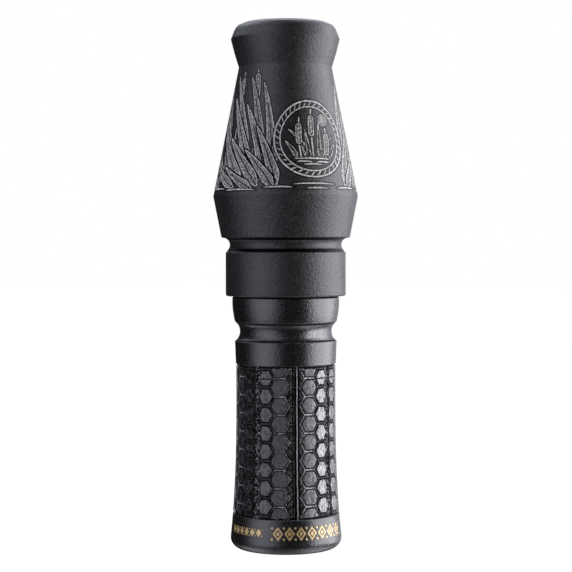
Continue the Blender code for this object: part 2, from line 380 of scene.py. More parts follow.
class Etching:
    """A drawing on a sheet, as the distance in mm into the etched area, and how dotted it is."""

    def __init__(self, across, up):
        self.across = across
        self.up = up
        self.light = np.full(across.shape, UNCUT)
        self.dots = np.zeros(across.shape)

    def near(self, points, margin):
        """The sheet's points within margin of some points."""
        low = points.min(axis=0) - margin
        high = points.max(axis=0) + margin
        return ((self.across > low[0]) & (self.across < high[0])
                & (self.up > low[1]) & (self.up < high[1]))

    def along(self, points, margin):
        """The sheet's points near a polyline, and each one's distance, share along and side."""
        inside = self.near(points, margin)
        x = self.across[inside]
        y = self.up[inside]
        best = np.full(x.shape, 1e9)
        share = np.zeros(x.shape)
        side = np.zeros(x.shape)
        count = len(points) - 1
        for i in range(count):
            start = points[i]
            step = points[i + 1] - start
            length = math.hypot(*step)
            t = np.clip(((x - start[0]) * step[0] + (y - start[1]) * step[1]) / length ** 2, 0, 1)
            dx = x - start[0] - t * step[0]
            dy = y - start[1] - t * step[1]
            distance = np.hypot(dx, dy)
            closer = distance < best
            best[closer] = distance[closer]
            share[closer] = ((i + t) / count)[closer]
            side[closer] = ((step[0] * dy - step[1] * dx) / length)[closer]
        return inside, best, share, side

    def about(self, centre, radius):
        """The sheet's points near a circle, and their distances from its centre."""
        inside = self.near(np.array([centre]), radius + 1)
        return inside, np.hypot(self.across[inside] - centre[0], self.up[inside] - centre[1])

    def lay(self, inside, depth, drawn, dots, shade_halo):
        """Lay a shape over what is there: drawn is its etched depth, with a band of painted shade
        round it.
        """
        behind = np.minimum(self.light[inside], -(depth + shade_halo))
        over = drawn > behind
        self.light[inside] = np.where(over, drawn, behind)
        self.dots[inside] = np.where(depth > 0, dots, self.dots[inside])

    def lay_dotted(self, inside, depth, rim, middle, shade_halo):
        """Lay a shape with a solid rim, a line of painted shade inside it and a dotted middle."""
        outline = np.minimum(depth, rim - depth)
        self.lay(inside, depth, np.maximum(outline, depth - middle), ramp(depth, 0.3, 0.45), shade_halo)

    def leaf(self, run, half_width, rim=0.3, shade_halo=0.42):
        """A reed leaf: a solid rim, a line of painted shade inside it, a dotted blade and a vein of
        painted shade.
        """
        inside, distance, share, side = self.along(curve_points(run), half_width + 1)
        width = half_width * np.clip(share * 4 + 0.35, 0, 1) * np.clip(1 - share, 0, 1) ** 0.6
        depth = width - distance
        outline = np.minimum(depth, rim - depth)
        vein = np.abs(side) - 0.13 + 0.6 * ramp(share, 0.7, 0.8)
        blade = np.minimum(depth - rim - 0.12, vein)
        self.lay(inside, depth, np.maximum(outline, blade),
                 ramp(depth, rim + 0.05, rim + 0.2), shade_halo)

    def stem(self, run, half_width=0.2, shade_halo=0.28):
        """A thin solid line."""
        inside, distance, _, _ = self.along(curve_points(run), half_width + 1)
        depth = half_width - distance
        self.lay(inside, depth, depth, 0.0, shade_halo)

    def cattail(self, run, half_width=0.95, head=5.2, tip=2.2):
        """A stem with a dotted head, and a fine tip above it."""
        self.stem(run)
        points = curve_points(run, 60)
        lengths = np.cumsum(np.hypot(*np.diff(points, axis=0).T))
        to_top = lengths[-1] - np.concatenate([[0], lengths])
        held = points[(to_top < head + tip) & (to_top > tip)]
        inside, distance, _, _ = self.along(held, half_width + 1)
        self.lay_dotted(inside, half_width - distance, 0.28, 0.48, 0.3)

    def ring(self, centre, radius, half_width):
        """A circle line that clears what it encloses to a scorched ground."""
        inside, distance = self.about(centre, radius)
        depth = radius + half_width - distance
        line = half_width - np.abs(distance - radius)
        self.lay(inside, depth, np.where(depth > 0, np.maximum(line, SCORCHED), line), 0.0, 0.3)

    def sun(self, centre, radius):
        """A small dotted disc with a solid rim."""
        inside, distance = self.about(centre, radius)
        self.lay_dotted(inside, radius - distance, 0.22, 0.4, 0.2)

    def ripple(self, centre, half_length, lift, half_width=0.2):
        """A shallow wave line, tapering to its ends."""
        x, y = centre
        points = curve_points(((x - half_length, y), (x, y + lift), (x + half_length, y)))
        inside, distance, share, _ = self.along(points, 1.0)
        depth = half_width * np.sqrt(np.clip(4 * share * (1 - share), 0, 1)) - distance
        self.lay(inside, depth, depth, 0.0, 0.22)


# Leaves, back to front: foot, bend, tip and half-width, in mm from the motif's foot
SIDE_LEAVES = [
    ((30, 3), (33, 16), (36, 29), 1.7),
    ((24, 3), (26.5, 18), (33.5, 32.5), 1.9),
    ((18, 3), (18, 18), (27, 31.5), 1.9),
    ((34.5, 3), (38, 12), (40.5, 21), 1.6),
    ((28, 3), (34.5, 12), (38.5, 25), 1.8),
    ((14, 3), (13.5, 20), (19.5, 31), 1.8),
    ((21.5, 2.5), (26.5, 15), (32.5, 26), 2),
    ((10.5, 3), (10.8, 20), (14.4, 29.5), 1.6),
    ((32, 2), (37.5, 8), (40.5, 14.5), 1.6),
    ((16, 2.5), (19.5, 15), (26.5, 25.5), 2),
    ((25, 2), (31.5, 9), (36.5, 17), 1.8),
    ((12, 2), (14, 14), (20, 23.5), 1.9),
    ((19, 1.8), (24.5, 10), (30.5, 18), 1.9),
    ((28.5, 1.4), (33.5, 4), (38, 8.5), 1.5),
    ((9.6, 1.8), (11, 9), (15.6, 17.5), 1.7),
    ((14.5, 1.5), (19, 8.5), (25, 14.5), 1.8),
    ((21.5, 1), (27, 4), (32, 8.5), 1.6),
    ((10.5, 0.9), (13.5, 6.5), (18.6, 11), 1.6),
    ((16, 0.6), (20.5, 3), (25.5, 6.5), 1.4),
]
SIDE_CATTAILS = [
    ((16, 3), (16, 20), (17, 33)),
    ((23.5, 3), (23, 20), (23.5, 32.5)),
]
CENTRE_CATTAILS = [
    ((-3.2, 8.8), (-4, 14), (-3.4, 19.4)),
    ((0.2, 8.6), (-0.2, 16), (0.4, 21.6)),
    ((3.8, 8.8), (4.8, 12), (4.6, 16.6)),
]
CENTRE_LEAVES = [
    ((-1.6, 8.6), (-1.9, 13), (-6.6, 16.4), 0.9),
    ((2, 8.6), (2.2, 13), (2.4, 18.2), 0.85),
    ((-4.4, 8.9), (-5.2, 11), (-7.4, 13.2), 0.75),
    ((-1, 8.5), (-1.2, 12), (-1.9, 16.4), 0.7),
    ((5, 8.9), (6, 10.6), (7.4, 12.6), 0.75),
    ((2.4, 8.6), (3.4, 11.6), (7, 14.6), 0.75),
]
RIPPLES = [
    ((0, 8.3), 5.3, 0.4), ((-2.4, 7.5), 2.2, 0.3), ((2.6, 7.4), 2, 0.3),
    ((0, 6.8), 2.6, 0.3), ((-9, 0.6), 3.8, 0.4), ((9.5, 0.5), 3.6, 0.4),
    ((-19, 0), 4.8, 0.4), ((19.5, 0), 4.8, 0.4), ((-28, 0.4), 4, 0.4),
    ((28.5, 0.4), 4, 0.4), ((0, 1.5), 5.4, 0.5), ((0.4, 0.4), 3, 0.3),
]
SUN = ((4.1, 18.9), 1.6)
ROUNDEL_CENTRE = (0.0, 13.8)
ROUNDEL_R = 10.3
ROUNDEL_INNER_R = 8.7
TICKS = 36
TICK_LEAN = 0.07


def both_sides(run):
    """A run's mirror image across the motif's middle, and the run."""
    return [(-x, y) for x, y in run], run


def on_roundel(radius, turn):
    """A point at a radius and an angle from the roundel's top."""
    x, y = ROUNDEL_CENTRE
    return x + radius * math.sin(turn), y + radius * math.cos(turn)


def marsh_motif(across, up):
    """The whole etching: reeds on both sides of a roundel of cattails over rippled water."""
    art = Etching(across, up)
    for cattail in SIDE_CATTAILS:
        for run in both_sides(cattail):
            art.cattail(run)
    for *leaf, half_width in SIDE_LEAVES:
        for run in both_sides(leaf):
            art.leaf(run, half_width)
    art.ring(ROUNDEL_CENTRE, ROUNDEL_R, 0.22)
    art.ring(ROUNDEL_CENTRE, ROUNDEL_INNER_R, 0.17)
    for i in range(TICKS):
        turn = math.tau * i / TICKS
        low = on_roundel(ROUNDEL_INNER_R + 0.42, turn)
        high = on_roundel(ROUNDEL_R - 0.5, turn + TICK_LEAN)
        art.stem((low, low, high), 0.14, shade_halo=0.05)
    art.sun(*SUN)
    for *leaf, half_width in CENTRE_LEAVES:
        art.leaf(leaf, half_width, rim=0.2, shade_halo=0.2)
    for cattail in CENTRE_CATTAILS:
        art.cattail(cattail, 0.85, 4.2)
    for ripple in RIPPLES:
        art.ripple(*ripple)
    return art.light, art.dots


# ---- the honeycomb grip

def nearest_cell(across, height):
    """Distance inside the nearest cell, and that cell's column and middle height.

    Column 0 is over the seam, 1 is beside it, and 2 is cut off by the joint between panels.
    """
    best = np.full(across.shape, 99.0)
    cell = np.zeros(across.shape)
    middle = np.zeros(across.shape)
    for column in range(3):
        shift = CELL_TOP_Z - CELL_HEIGHT / 2 * (1 - column % 2)
        row = np.round((height - shift) / CELL_HEIGHT) * CELL_HEIGHT + shift
        up = np.abs(height - row)
        aside = np.abs(across - column * COLUMN_PITCH)
        reach = np.maximum(up, aside * math.sqrt(3) / 2 + up / 2)
        closer = reach < best
        best = np.where(closer, reach, best)
        cell = np.where(closer, column, cell)
        middle = np.where(closer, row, middle)
    return CELL_HEIGHT / 2 - best, cell, middle


def broken_cells(across, height, end, joint, noise):
    """Distance inside the cells as they were really cut, and each point's column."""
    inside, cell, middle = nearest_cell(across, height)

    # Slivers of cells at the grip's ends are cleared away, and the ends are ragged
    kept = (np.minimum(middle + CELL_HEIGHT / 2, GRIP_HIGH_Z)
            - np.maximum(middle - CELL_HEIGHT / 2, GRIP_LOW_Z))
    inside = np.where(kept < LEAST_CELL, np.minimum(inside, 0.2), inside)
    ragged = noise((0.16, 0.6, 3), (0.1, 0.25, 4))
    inside = np.minimum(inside, end - 0.1 + ragged)
    inside += noise((0.07, 0.45, 1), (0.05, 0.2, 2))

    # Cells break up towards the joints
    torn = noise((0.75, 0.9, 5), (0.45, 0.4, 6))
    inside = np.where(joint > 0, np.minimum(inside, 0.55 - 0.6 * joint + torn), inside)

    # A line where the cutter restarted crosses the outer columns' top cells
    restart = np.abs(height - RESTART_Z - noise((0.12, 0.7, 11)))
    return np.where(cell > 1.5, np.minimum(inside, 0.16 + 3 * restart), inside), cell


def honeycomb(azimuth, height):
    """The grip's depth, distance inside the nearest cell, reach, burrs, painted highlight and rubbed
    cell tops.
    """
    arc = np.radians(azimuth) * GRIP_R
    noise = functools.partial(noise_sum, arc, height)
    from_seam = wrapped(azimuth - PANEL_AZIMUTH, PANEL_ANGLE)
    out = np.abs(from_seam)
    end = np.minimum(GRIP_HIGH_Z - height, height - GRIP_LOW_Z)
    joint = ramp(out, *JOINT)
    squeezed = SQUEEZE * np.maximum(out - 2 * COLUMN_ANGLE, 0)
    across = (out + squeezed) * COLUMN_PITCH / COLUMN_ANGLE
    inside, cell = broken_cells(across, height, end, joint, noise)

    # The grooves widen towards the joints
    outward = ramp(out, *WIDENING)
    widened = 0.2 * outward + 0.14 * ramp(from_seam, *WIDENING_BY_SEAM) * (1 - outward)
    widened *= 1 + noise((0.35, 0.8, 13))
    ridge = (1 - ramp(np.abs(inside), 0.05 + 0.4 * widened, 0.17 + 0.6 * widened)) * (1 - joint)
    ridge = ridge * ramp(end, 0.35, 0.6)
    inside = inside - widened
    wall = ramp(inside, 0.28, 0.41)
    cut = CUT_DEPTH * (1 - wall) - RIDGE_HEIGHT * ridge
    cut += ((1 - wall) * 0.08 + joint * 0.09) * noise((1, 0.3, 7))

    # Each cell's top is nearly flat across, with pits
    flat = CELL_FLATNESS * ((across - cell * COLUMN_PITCH) ** 2 / (2 * GRIP_R) - 0.08)
    cut -= wall * (flat + noise((0.02, 0.35, 9), (0.02, 1.1, 10)))

    # The cells under the seam are roughed over, and so is the whole of one panel
    dull = ramp(azimuth, *DULL_FROM) * (1 - ramp(azimuth, *DULL_TO))
    dull = np.maximum(dull, cell < 0.5)
    rough_top = 0.35 + noise((0.06, 0.5, 14))
    inside = np.where(dull > 0.5, np.minimum(inside, rough_top), inside)

    # The seam: three channels and the thin line left between two of them
    seam = from_seam * math.radians(1) * GRIP_R + 0.03 * soft_noise(arc * 0, height, 1.4, 8)
    for centre, half_width in SEAM_CHANNELS:
        channel = 1 - ramp(np.abs(seam - centre), half_width - 0.08, half_width + 0.08)
        cut = np.maximum(cut, SEAM_DEPTH * channel)
        inside = np.minimum(inside, 0.6 - 0.36 * channel)
        ridge = ridge * (1 - channel)
    line = 1 - ramp(np.abs(seam - SEAM_LINE), 0.06, 0.15)
    cut = cut * (1 - line) - 0.02 * line

    grip = ramp(end, -0.02, 0.1)
    rubbed = wall * (0.55 + 0.45 * ramp(out, 24.0, 31.0)) * (1 - joint) * (1 - dull)
    rubbed = rubbed * (0.3 + 0.7 * ramp(azimuth, 2.0, 18.0) * ramp(175 - azimuth, 0.0, 10.0))
    flecks = joint * ramp(noise((1, 0.32, 12)), -0.2, 0.5)
    # Pale colour on the ridge crests near a seam is a painted highlight; the flecks by the joints
    # and the seam's line are pale burrs
    crest_highlight = ridge * (1 - 0.85 * ramp(out, 17.0, 28.0))
    burr_and_highlight = np.maximum(np.maximum(crest_highlight, 0.7 * flecks) * (1 - 0.45 * dull), line)
    return grip * cut, np.where(grip > 0, inside, WHOLE), grip, burr_and_highlight * grip, rubbed * grip


# ---- the gold frieze

def frieze(azimuth, height):
    """Distance into the gold fill: groups of framed lozenges and of small ones, twice round."""
    arc = BASE_R * math.radians(1)
    fill = np.full(azimuth.shape, UNCUT)
    up = np.abs(height - FRIEZE_Z)
    for start, count, pitch, tall, framed, dot_r, dot_up in FRIEZE_GROUPS:
        half_width = pitch * arc * LOZENGE_SHARE
        slant = math.hypot(half_width, tall / 2)
        for i in range(2 * count):
            middle = start + i % count * pitch + i // count * 180
            aside = np.abs(wrapped(azimuth - middle)) * arc
            shape = (half_width * tall / 2 - aside * tall / 2 - up * half_width) / slant
            if framed:
                shape = np.maximum(np.minimum(shape, 0.52 - shape), shape - 0.74)
            dot = dot_r - np.hypot(aside - pitch * arc / 2, up - dot_up)
            fill = np.maximum(fill, np.maximum(shape, dot))
    return fill


# ---- meshes

def grid_mesh(name, radius, height, azimuth, layers):
    """A closed turned wall from a grid of radii: rows along the outline, columns round it."""
    rows, columns = radius.shape
    angle = np.radians(azimuth)
    points = np.stack([radius * np.sin(angle), -radius * np.cos(angle), height], axis=-1) * MM
    index = np.arange(rows * columns).reshape(rows, columns)
    below = np.roll(index, -1, axis=0)
    beside = np.roll(index, -1, axis=1)
    across = np.roll(below, -1, axis=1)
    corners = np.stack([index, below, across, beside], axis=-1).reshape(-1, 4)
    mesh = bpy.data.meshes.new(name)
    mesh.from_pydata(points.reshape(-1, 3).tolist(), [], corners.tolist())
    for layer, values in layers.items():
        held = mesh.attributes.new(layer, "FLOAT", "POINT")
        held.data.foreach_set("value", values.reshape(-1).astype(np.float32))
    mesh.shade_smooth()
    return mesh


def linked(name, data):
    """A new object in the scene."""
    made = bpy.data.objects.new(name, data)
    bpy.context.scene.collection.objects.link(made)
    return made


def add_object(name, mesh, body, nodes, material):
    """Link a piece, ride it on its body and put it in its CAD nodes' place."""
    made = linked(name, mesh)
    mesh.materials.clear()
    mesh.materials.append(material)
    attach(made, body)
    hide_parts(*nodes)


def sheet_of(outline, columns):
    """The outline's radii and heights spread over the columns, with the columns' azimuths."""
    azimuth = wrapped(np.arange(columns) * 360.0 / columns)
    shape = (len(outline), columns)
    radius = np.broadcast_to(outline[:, :1], shape).copy()
    height = np.broadcast_to(outline[:, 1:], shape).copy()
    return radius, height, np.broadcast_to(azimuth, shape)


def outer_rows(outline, low, high):
    """Which rows of an outline lie on its outside between two heights."""
    return (outline[:, 1] > low) & (outline[:, 1] < high) & (outline[:, 0] > OUTER_R)


def make_barrel(material):
    """The barrel, with the motif cut into its cone."""
    def step_at(point):
        on_cone = MOTIF_LOW_Z < point[1] < MOTIF_TOP_Z and point[0] > OUTER_R
        return ETCH_ROW if on_cone else PLAIN_ROW

    outline = refined(split_at(barrel_outline(), (MOTIF_LOW_Z, MOTIF_TOP_Z)), step_at)
    radius, height, azimuth = sheet_of(outline, BARREL_COLUMNS)
    light = np.full(radius.shape, UNCUT)
    dots = np.zeros(radius.shape)
    cone = outer_rows(outline, MOTIF_LOW_Z, MOTIF_TOP_Z)
    across = np.radians(wrapped(azimuth[cone] - MOTIF_AZIMUTH)) * MOTIF_SHEET_R
    light[cone], dots[cone] = marsh_motif(across, height[cone] - MOTIF_FOOT_Z)
    light[cone] += noise_sum(across, height[cone], (0.05, 0.35, 21), (0.04, 0.18, 22))
    radius[cone] -= ETCH_DEPTH * ramp(light[cone], -0.05, 0.12)
    # The lanyard groove's corners get values that the barrel's material paints black with no
    # reflection: painted shade
    for low, high in GROOVE_CORNERS:
        corner = outer_rows(outline, low, high)
        light[corner] = GROOVE_PAINTED_SHADE
        dots[corner] = 1.0
    mesh = grid_mesh("barrel_turned", radius, height, azimuth, {"etched": light, "dots": dots})
    add_object("barrel_turned", mesh, "barrel", ["barrel"], material)


def make_insert(material):
    """The insert, with the honeycomb and the gold frieze cut into its wall."""
    def step_at(point):
        on_grip = BASE_CORNER_TOP_Z < point[1] < GRIP_HIGH_Z + 0.3 and point[0] > OUTER_R
        return GRIP_ROW if on_grip else PLAIN_ROW

    outline = refined(insert_outline(), step_at)
    radius, height, azimuth = sheet_of(outline, INSERT_COLUMNS)
    inside = np.full(radius.shape, WHOLE)
    grip, burr_and_highlight, rubbed = (np.zeros(radius.shape) for _ in range(3))
    cells = outer_rows(outline, GRIP_LOW_Z - 0.4, GRIP_HIGH_Z + 0.2)
    depth, inside[cells], grip[cells], burr_and_highlight[cells], rubbed[cells] = honeycomb(
        azimuth[cells], height[cells])
    radius[cells] -= depth

    # The waist's corners are marked so that the insert's material paints them black with no
    # reflection: painted shade
    for low, high in WAIST_CORNERS:
        corner = outer_rows(outline, low, high)
        grip[corner] = 1.0
        inside[corner] = SMOOTH_PAINTED_SHADE
    low = WAIST_CORNERS[0][1]
    high = WAIST_CORNERS[1][0]
    waist = outer_rows(outline, low, high)
    rubbed[waist] = WAIST_SHINE * (
        ramp(azimuth[waist], *WAIST_SHINE_FROM) * (1 - ramp(azimuth[waist], *WAIST_SHINE_TO))
        * ramp(height[waist], low, low + 1.2) * ramp(high - height[waist], 0.0, 1.2))

    gold = np.full(radius.shape, UNCUT)
    foot = outer_rows(outline, BASE_CORNER_TOP_Z, GRIP_LOW_Z)
    arc = np.radians(azimuth[foot]) * BASE_R
    gold[foot] = frieze(azimuth[foot], height[foot])
    gold[foot] += 0.05 * soft_noise(arc, height[foot], 0.3, 31)
    radius[foot] -= GOLD_DEPTH * ramp(gold[foot], -0.08, 0.08)
    layers = {"inside": inside, "grip": grip, "burr_and_highlight": burr_and_highlight, "rubbed": rubbed, "gold": gold}
    mesh = grid_mesh("insert_turned", radius, height, azimuth, layers)
    add_object("insert_turned", mesh, "insert", ["insert"], material)


def make_oring(node, ring, body, material):
    """A round O-ring, a little flattened where it meets the bore."""
    turn = np.arange(RING_STEPS) * math.tau / RING_STEPS
    across = np.minimum(ring[1] + ring[0] * np.cos(turn), ring[1] + ring[0] * RING_FLAT)
    up = ring_heights([node])[0] - ring[0] * np.sin(turn)
    radius, height, azimuth = sheet_of(np.stack([across, up], axis=-1), RING_COLUMNS)
    mesh = grid_mesh(node + "_round", radius, height, azimuth, {})
    add_object(node + "_round", mesh, body, [node], material)


# ---- the guts

def solid(bm, name):
    """A linked object from a mesh in millimetres."""
    bmesh.ops.remove_doubles(bm, verts=bm.verts, dist=MERGE_MM)
    bmesh.ops.recalc_face_normals(bm, faces=bm.faces)
    bmesh.ops.scale(bm, verts=bm.verts, vec=(MM, MM, MM))
    mesh = bpy.data.meshes.new(name)
    bm.to_mesh(mesh)
    bm.free()
    return linked(name, mesh)


def turned(name, outline, segments=112):
    """A closed outline of (radius, height) points turned about the Z axis."""
    bm = bmesh.new()
    verts = [bm.verts.new((radius, 0, height)) for radius, height in outline]
    edges = [bm.edges.new((a, b)) for a, b in zip(verts, verts[1:] + verts[:1])]
    bmesh.ops.spin(bm, geom=verts + edges, cent=(0, 0, 0), axis=(0, 0, 1),
                   angle=math.tau, steps=segments, use_merge=True)
    bmesh.ops.dissolve_degenerate(bm, dist=MERGE_MM, edges=bm.edges)
    return solid(bm, name)


def extruded(name, corners, along):
    """A closed outline of (x, y, z) corners swept along a vector."""
    bm = bmesh.new()
    face = bm.faces.new([bm.verts.new(corner) for corner in corners])
    swept = bmesh.ops.extrude_face_region(bm, geom=[face])["geom"]
    bmesh.ops.translate(bm, verts=[v for v in swept if isinstance(v, bmesh.types.BMVert)],
                        vec=along)
    return solid(bm, name)


def finished(made, cutters, bevel):
    """The object's mesh after the cuts and a bevel on its sharp edges; the makings are removed."""
    for cutter in cutters:
        boolean = made.modifiers.new(cutter.name, "BOOLEAN")
        boolean.operation = "DIFFERENCE"
        boolean.object = cutter
    edge = made.modifiers.new("edges", "BEVEL")
    edge.width = bevel * MM
    edge.segments = 2
    edge.limit_method = "ANGLE"
    edge.angle_limit = math.radians(35)
    depsgraph = bpy.context.evaluated_depsgraph_get()
    mesh = bpy.data.meshes.new_from_object(made.evaluated_get(depsgraph))
    for spent in [made, *cutters]:
        bpy.data.objects.remove(spent)
    mesh.shade_smooth()
    mesh.set_sharp_from_angle(angle=math.radians(40))
    return mesh


def make_gut_body(material):
    """The stem and tone board: turned, faced flat, slotted for reed and wedge, and bored."""
    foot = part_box("gut_body")[0].z / MM
    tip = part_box("gut_body")[1].z / MM
    side = grooved_side(STEM_R, foot, STEM_TOP_Z, GUT_RING, ring_heights(GUT_RING_NODES))
    stem = rounded([(0, foot), (*side[0], 0.4), *side[1:-1], (*side[-1], 0.5),
                    (BOARD_R, STEM_TOP_Z, 0.6), (BOARD_R, tip - NOSE_LENGTH)])
    nose = arc_through((BOARD_R, tip - NOSE_LENGTH), (5.3, tip - 0.9), (NOSE_FLAT_R, tip), 10)
    body = turned("gut_body_blank", stem[:-1] + nose + [(0, tip)])

    above = tip + 1
    face = [(-REACH, -REACH, above), (-REACH, -REACH, STEM_TOP_Z)]
    for z in rows_of(STEM_TOP_Z, above, 1.0):
        drop = BOARD_DROP * ((z - STEM_TOP_Z) / (tip - STEM_TOP_Z)) ** 2
        face.append((-REACH, drop, z))
    slot = [(way * SLOT_HALF_WIDTH, -SLOT_DEPTH, z) for way, z in (
        (-1, SLOT_FLOOR_Z), (1, SLOT_FLOOR_Z), (1, STEM_TOP_Z + 1), (-1, STEM_TOP_Z + 1))]
    dome = CHANNEL_TOP_Z - CHANNEL_R
    slant = CHANNEL_R * math.sqrt(0.5)
    bore = [(0, foot - 1), (INSERT_BORE_R, foot - 1), (INSERT_BORE_R, foot),
            (AIR_BORE_R, foot + AIR_FLARE), (AIR_BORE_R, SLOT_FLOOR_Z - 1),
            (CHANNEL_R, SLOT_FLOOR_Z + 1)]
    bore += arc_through((CHANNEL_R, dome), (slant, dome + slant), (0, CHANNEL_TOP_Z), 10)
    cutters = [extruded("face_cutter", face, (2 * REACH, 0, 0)),
               extruded("slot_cutter", slot, (0, SLOT_DEPTH, 0)),
               turned("air_cutter", bore, 64)]
    mesh = finished(body, cutters, 0.12)
    add_object("gut_body_turned", mesh, "guts", ["gut_body"], material)


def make_reed(material):
    """The film reed, with a rounded free end and eased edges."""
    low, high = (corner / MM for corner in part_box("reed"))
    tip = arc_through((high.x, high.z - REED_NOSE), (3.3, high.z - 0.7), (0, high.z), 16)
    right = [(0, low.z), (high.x - REED_CORNER, low.z), (high.x, low.z + REED_CORNER), *tip]
    left = [(-x, z) for x, z in right[-2:0:-1]]
    blank = extruded("reed_blank", [(x, low.y, z) for x, z in right + left],
                     (0, high.y - low.y, 0))
    mesh = finished(blank, [], 0.06)
    add_object("reed_film", mesh, "reed", ["reed"], material)


def make_wedge(material):
    """The rubber key: tapered, with ribs across its proud head to pull it by."""
    low, high = (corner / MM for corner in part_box("wedge"))
    ribs_top = high.z - WEDGE_CHAMFER[1]
    pitch = (ribs_top - WEDGE_HEAD_Z) / WEDGE_RIBS
    side = [(high.y, low.z), (high.y, high.z), (low.y + WEDGE_CHAMFER[0], high.z),
            (low.y, ribs_top)]
    for i in range(WEDGE_RIBS):
        top = ribs_top - i * pitch
        side += [(low.y, top - 0.5 * pitch), (low.y + RIB_DEPTH, top - 0.6 * pitch),
                 (low.y + RIB_DEPTH, top - 0.9 * pitch), (low.y, top - pitch)]
    side.append((low.y + WEDGE_TAPER, low.z))
    blank = extruded("wedge_blank", [(low.x, y, z) for y, z in side], (high.x - low.x, 0, 0))
    mesh = finished(blank, [], 0.1)
    add_object("wedge_ribbed", mesh, "wedge", ["wedge"], material)


# ---- materials

class Nodes:
    """Short calls for building one node tree. Inputs are named with _ for a space."""

    def __init__(self, name, owners=None, shader="Principled BSDF"):
        self.owner = (bpy.data.materials if owners is None else owners).new(name)
        self.owner.use_nodes = True
        self.tree = self.owner.node_tree
        self.shader = self.tree.nodes[shader]

    def add(self, kind, settings=None, **inputs):
        """A node, with its settings and its inputs."""
        node = self.tree.nodes.new(kind)
        for key, value in (settings or {}).items():
            setattr(node, key, value)
        self.feed_all(node, inputs)
        return node

    def feed_all(self, node, inputs):
        """Feed a node's named inputs."""
        for key, value in inputs.items():
            self.feed(node.inputs[key.replace("_", " ")], value)

    def feed(self, socket, value):
        """Link a socket from another, or set its own value; colours are given as RGB."""
        if isinstance(value, bpy.types.NodeSocket):
            self.tree.links.new(value, socket)
        elif socket.type == "RGBA":
            socket.default_value = (*value, 1.0)
        else:
            socket.default_value = value

    def layer(self, name):
        """A number held at the mesh's points."""
        return self.add("ShaderNodeAttribute", {"attribute_name": name}).outputs["Fac"]

    def noise(self, scale, detail=3, roughness=0.5, stretch=None):
        """Noise from 0 to 1; scale is in features per metre, and stretch multiplies it per axis."""
        place = self.add("ShaderNodeTexCoord").outputs["Object"]
        if stretch:
            place = self.add("ShaderNodeMapping", Vector=place, Scale=stretch).outputs["Vector"]
        return self.add("ShaderNodeTexNoise", Vector=place, Scale=scale, Detail=detail,
                        Roughness=roughness).outputs["Fac"]

    def span(self, value, low, high, to_low=0.0, to_high=1.0, smooth=False):
        """A number mapped from one range to another, and held inside it."""
        kind = "SMOOTHSTEP" if smooth else "LINEAR"
        return self.add("ShaderNodeMapRange", {"interpolation_type": kind}, Value=value,
                        From_Min=low, From_Max=high, To_Min=to_low, To_Max=to_high).outputs[0]

    def math(self, operation, first, second):
        """Arithmetic on two numbers."""
        node = self.add("ShaderNodeMath", {"operation": operation})
        self.feed(node.inputs[0], first)
        self.feed(node.inputs[1], second)
        return node.outputs[0]

    def times(self, first, second):
        """One number times another."""
        return self.math("MULTIPLY", first, second)

    def plus(self, first, second):
        """One number and another added."""
        return self.math("ADD", first, second)

    def mix(self, share, first, second):
        """A blend of two colours."""
        node = self.add("ShaderNodeMix", {"data_type": "RGBA"})
        for index, value in ((0, share), (6, first), (7, second)):
            self.feed(node.inputs[index], value)
        return node.outputs[2]

    def bump(self, height, distance, strength=1.0, normal=None):
        """A normal from a height; distance is the height's size in metres."""
        node = self.add("ShaderNodeBump", Height=height, Distance=distance, Strength=strength)
        if normal is not None:
            self.feed(node.inputs["Normal"], normal)
        return node.outputs["Normal"]

    def finish(self, **inputs):
        """The material or world, with its shader's inputs fed."""
        self.feed_all(self.shader, inputs)
        return self.owner


BLACK = (0.0015, 0.0015, 0.0017)
BLACK_WORN = (0.003, 0.003, 0.0034)
BARREL_SPECK = (0.036, 0.036, 0.037)
INSERT_SPECK = (0.014, 0.014, 0.0145)
ETCH_DARK = (0.045, 0.044, 0.042)
ETCH_FAINT = (0.22, 0.215, 0.2)
ETCH_LIGHT = (0.6, 0.59, 0.56)
# The gold fill, with the paler gold painted on as its highlight
GOLD_DEEP = (0.32, 0.18, 0.045)
GOLD_PALE = (0.52, 0.4, 0.2)
# Near-black: painted shade in the etching's gaps and in the groove's and the waist's corners, scorch
# and painted shade in the grip's cuts, and the dark specks on the cells
SCORCH_AND_SHADE_BLACK = (0.0018, 0.0018, 0.002)
CUT_ASH = (0.032, 0.031, 0.03)
# Pale burrs, also painted on the grip's ridge crests as a highlight
BURR_AND_HIGHLIGHT = (0.6, 0.6, 0.585)
CELL_WORN = (0.014, 0.014, 0.015)
CELL_RUBBED = (0.045, 0.045, 0.046)
IVORY = (0.36, 0.33, 0.25)
IVORY_STAINED = (0.28, 0.25, 0.18)
FILM = (0.47, 0.47, 0.43)
FILM_SCRATCHED = (0.54, 0.54, 0.5)
RUBBER = (0.012, 0.012, 0.012)
RUBBER_DUST = (0.045, 0.044, 0.042)
RED_RUBBER = (0.16, 0.022, 0.016)
RED_RUBBER_DUST = (0.3, 0.06, 0.045)


def satin(nodes, grain, speck_colour, gloss, gloss_grain):
    """Colour, roughness and normal of the turned black polymer.

    grain is in metres; gloss is the roughness's range, and gloss_grain what its grain adds.
    """
    cloud = nodes.noise(160, 4)
    colour = nodes.mix(nodes.span(cloud, 0.35, 0.7), BLACK, BLACK_WORN)
    speck = nodes.noise(2700, 2, 0.7)
    colour = nodes.mix(nodes.span(speck, 0.5, 0.66), colour, speck_colour)
    rough = nodes.plus(nodes.span(cloud, 0.3, 0.7, *gloss),
                       nodes.span(nodes.noise(2600, 1), 0.38, 0.62, 0.0, gloss_grain))
    lathe = nodes.noise(1, 3, 0.6, (40, 40, 5200))
    mottle = nodes.bump(nodes.noise(900, 2, 0.6), 0.00004)
    mottle = nodes.bump(nodes.noise(2400, 1, 0.7), grain, 1.0, mottle)
    height = nodes.plus(nodes.noise(5200, 2, 0.6), nodes.times(lathe, 0.35))
    return colour, rough, nodes.bump(height, 0.00002, 0.8, mottle)


